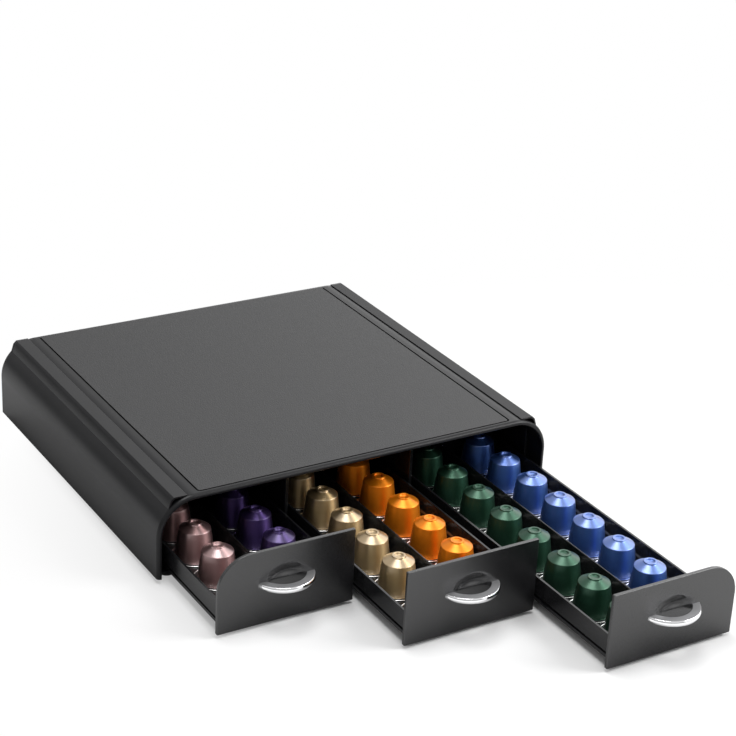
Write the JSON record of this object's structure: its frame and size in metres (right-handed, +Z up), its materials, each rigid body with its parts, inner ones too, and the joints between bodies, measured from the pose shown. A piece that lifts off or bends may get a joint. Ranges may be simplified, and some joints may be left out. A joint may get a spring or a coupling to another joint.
{
  "type": "coffee pod drawer",
  "caption": "Low case for coffee pods, whose trays slide out side by side at the front by crescent handles set under finger scoops.",
  "frame": {"origin": "on the ground, under the middle of the whole object as it stands with its drawers part open", "axes": "+Z up, +Y to the rear, so the drawers pull out along -Y; +X to the right seen from the front"},
  "size_m": [0.348, 0.5785, 0.0688],
  "materials": {
    "shell_plastic": "satin",
    "front_plastic": "satin",
    "grained_panel": "fine grain",
    "inner_plastic": "gloss",
    "rubber": "matte",
    "screw_steel": "plain",
    "handle_chrome": "bright",
    "rose_foil_metal": "satin",
    "purple_foil_metal": "satin",
    "gold_foil_metal": "satin",
    "orange_foil_metal": "satin",
    "green_foil_metal": "satin",
    "blue_foil_metal": "satin"
  },
  "bodies": {
    "case": {"case_shell": "shell_plastic", "top_panel": "grained_panel", "left_shoulder_rail": "shell_plastic", "right_shoulder_rail": "shell_plastic", "back_cover": "inner_plastic", "case_floor": "inner_plastic", "left_partition": "inner_plastic", "right_partition": "inner_plastic", "left_side_guide": "inner_plastic", "right_side_guide": "inner_plastic", "drawer_stops": "inner_plastic", "drawer_bumpers": "rubber", "rubber_feet": "rubber", "upright_screws": "screw_steel", "back_screws": "screw_steel"},
    "left_drawer": {"left_front": "front_plastic", "left_handle": "handle_chrome", "left_handle_screws": "screw_steel", "left_tray": "inner_plastic", "left_insert": "inner_plastic", "left_tray_screws": "screw_steel", "rose_pods": "rose_foil_metal", "purple_pods": "purple_foil_metal"},
    "middle_drawer": {"middle_front": "front_plastic", "middle_handle": "handle_chrome", "middle_handle_screws": "screw_steel", "middle_tray": "inner_plastic", "middle_insert": "inner_plastic", "middle_tray_screws": "screw_steel", "gold_pods": "gold_foil_metal", "orange_pods": "orange_foil_metal"},
    "right_drawer": {"right_front": "front_plastic", "right_handle": "handle_chrome", "right_handle_screws": "screw_steel", "right_tray": "inner_plastic", "right_insert": "inner_plastic", "right_tray_screws": "screw_steel", "green_pods": "green_foil_metal", "blue_pods": "blue_foil_metal"}
  },
  "joints": [
    {"name": "left_drawer_slide", "type": "slide", "parent": "case", "child": "left_drawer", "axis": [0, -1, 0], "range_m": [-0.087, 0.189]},
    {"name": "middle_drawer_slide", "type": "slide", "parent": "case", "child": "middle_drawer", "axis": [0, -1, 0], "range_m": [-0.158, 0.118]},
    {"name": "right_drawer_slide", "type": "slide", "parent": "case", "child": "right_drawer", "axis": [0, -1, 0], "range_m": [-0.247, 0.029]}
  ]
}
